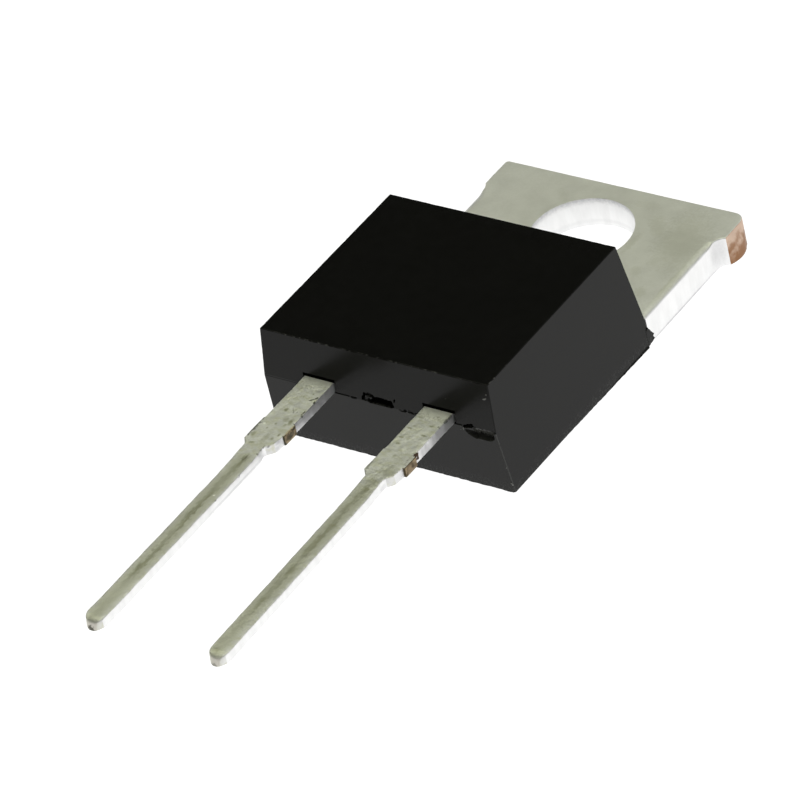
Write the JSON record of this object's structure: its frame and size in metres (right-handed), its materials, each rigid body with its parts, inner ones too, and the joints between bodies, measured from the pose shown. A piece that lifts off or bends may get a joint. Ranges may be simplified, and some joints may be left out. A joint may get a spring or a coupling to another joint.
{
  "type": "rectifier diode",
  "caption": "Power rectifier diode with a black moulded body on a flat metal tab with a screw hole, and straight tinned leads for soldering through a board.",
  "frame": {"origin": "centre of the tab's screw hole, on the back face of the tab", "axes": "+X across the width towards the anode lead, +Y towards the free end of the tab with the leads pointing along -Y, +Z from the back face towards the top face"},
  "size_m": [0.0103, 0.029, 0.0046],
  "materials": {
    "moulding": "matte black epoxy moulding with fine mould texture",
    "tinned_copper": "dull tin plate over copper, bare copper where tie bars were cut",
    "silicon": "metallised silicon chip",
    "solder": "soft solder",
    "bond_wire": "drawn aluminium wire"
  },
  "bodies": {
    "root": {"body": "moulding", "cathode_tab": "tinned_copper", "anode_lead": "tinned_copper", "diode_chip": "silicon", "chip_solder": "solder", "bond_wire_left": "bond_wire", "bond_wire_right": "bond_wire"}
  },
  "joints": []
}
